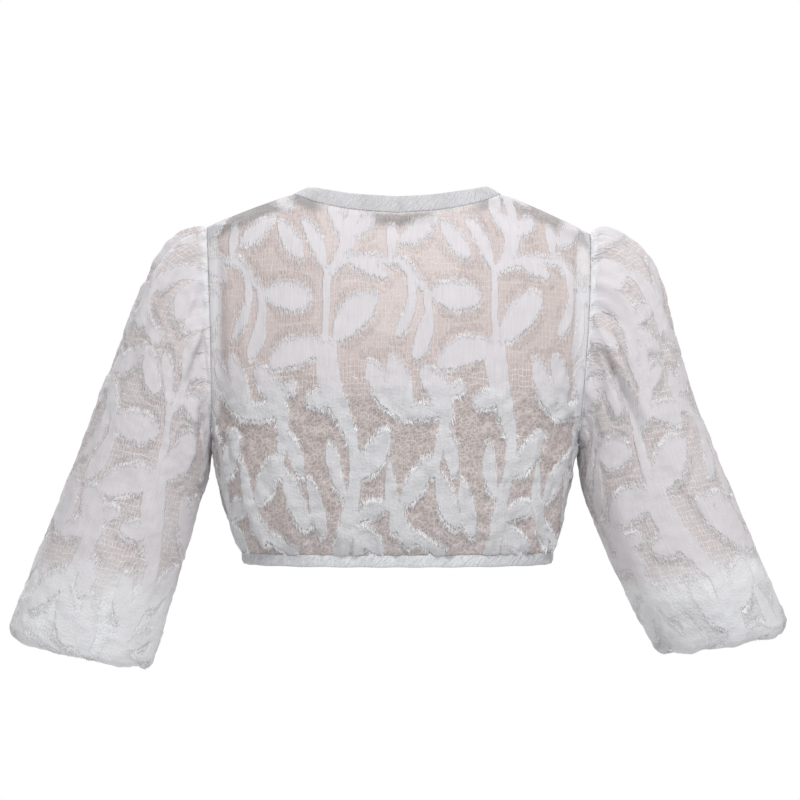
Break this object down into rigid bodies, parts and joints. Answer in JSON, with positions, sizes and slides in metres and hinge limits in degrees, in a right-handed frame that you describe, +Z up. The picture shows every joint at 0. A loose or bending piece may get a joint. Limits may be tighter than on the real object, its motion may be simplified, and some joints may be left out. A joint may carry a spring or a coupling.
{
  "type": "dirndl blouse",
  "caption": "Cropped sheer dirndl blouse with a woven leaf pattern, puffed three-quarter sleeves, a banded neck and an elastic hem, hollow as when worn.",
  "frame": {"origin": "middle of the neck opening, level with the points where the shoulder seams meet the neckband", "axes": "+Z up, the wearer faces -Y so the back of the blouse is at +Y, and +X is the wearer's left"},
  "size_m": [0.7826, 0.2313, 0.4837],
  "materials": {
    "sheer_cloth": "matte",
    "band_cloth": "matte",
    "label_cloth": "matte"
  },
  "bodies": {
    "root": {"back": "sheer_cloth", "front": "sheer_cloth", "sleeve_left": "sheer_cloth", "sleeve_right": "sheer_cloth", "neckband": "band_cloth", "hem_casing": "band_cloth", "neck_label": "label_cloth"}
  },
  "joints": []
}
